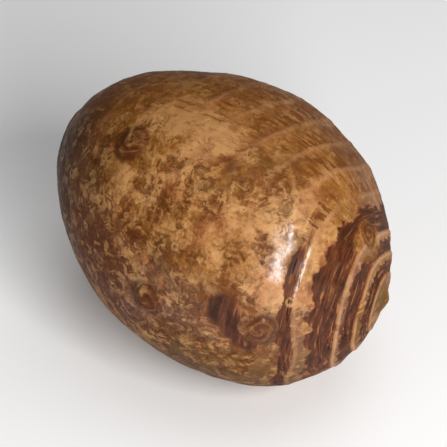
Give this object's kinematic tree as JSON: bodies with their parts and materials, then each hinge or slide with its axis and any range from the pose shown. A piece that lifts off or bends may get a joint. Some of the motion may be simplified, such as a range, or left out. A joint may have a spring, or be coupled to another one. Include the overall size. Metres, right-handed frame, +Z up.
{
  "type": "taro root",
  "caption": "Small egg-shaped taro corm, a brown root vegetable with ring scars that crowd towards its crown, buds on its sides and a scar at its tail. It lies on its side.",
  "frame": {"origin": "the middle of the bounding box's bottom face, on the level of the flat that the corm rests on", "axes": "+X along the corm's length towards its crown, +Y across it, +Z up"},
  "size_m": [0.082, 0.062, 0.0636],
  "materials": {
    "corm_skin": "dry brown skin with a dull waxy sheen, ring scars, dark fibrous bands and speckles"
  },
  "bodies": {
    "root": {"taro_corm": "corm_skin"}
  },
  "joints": []
}
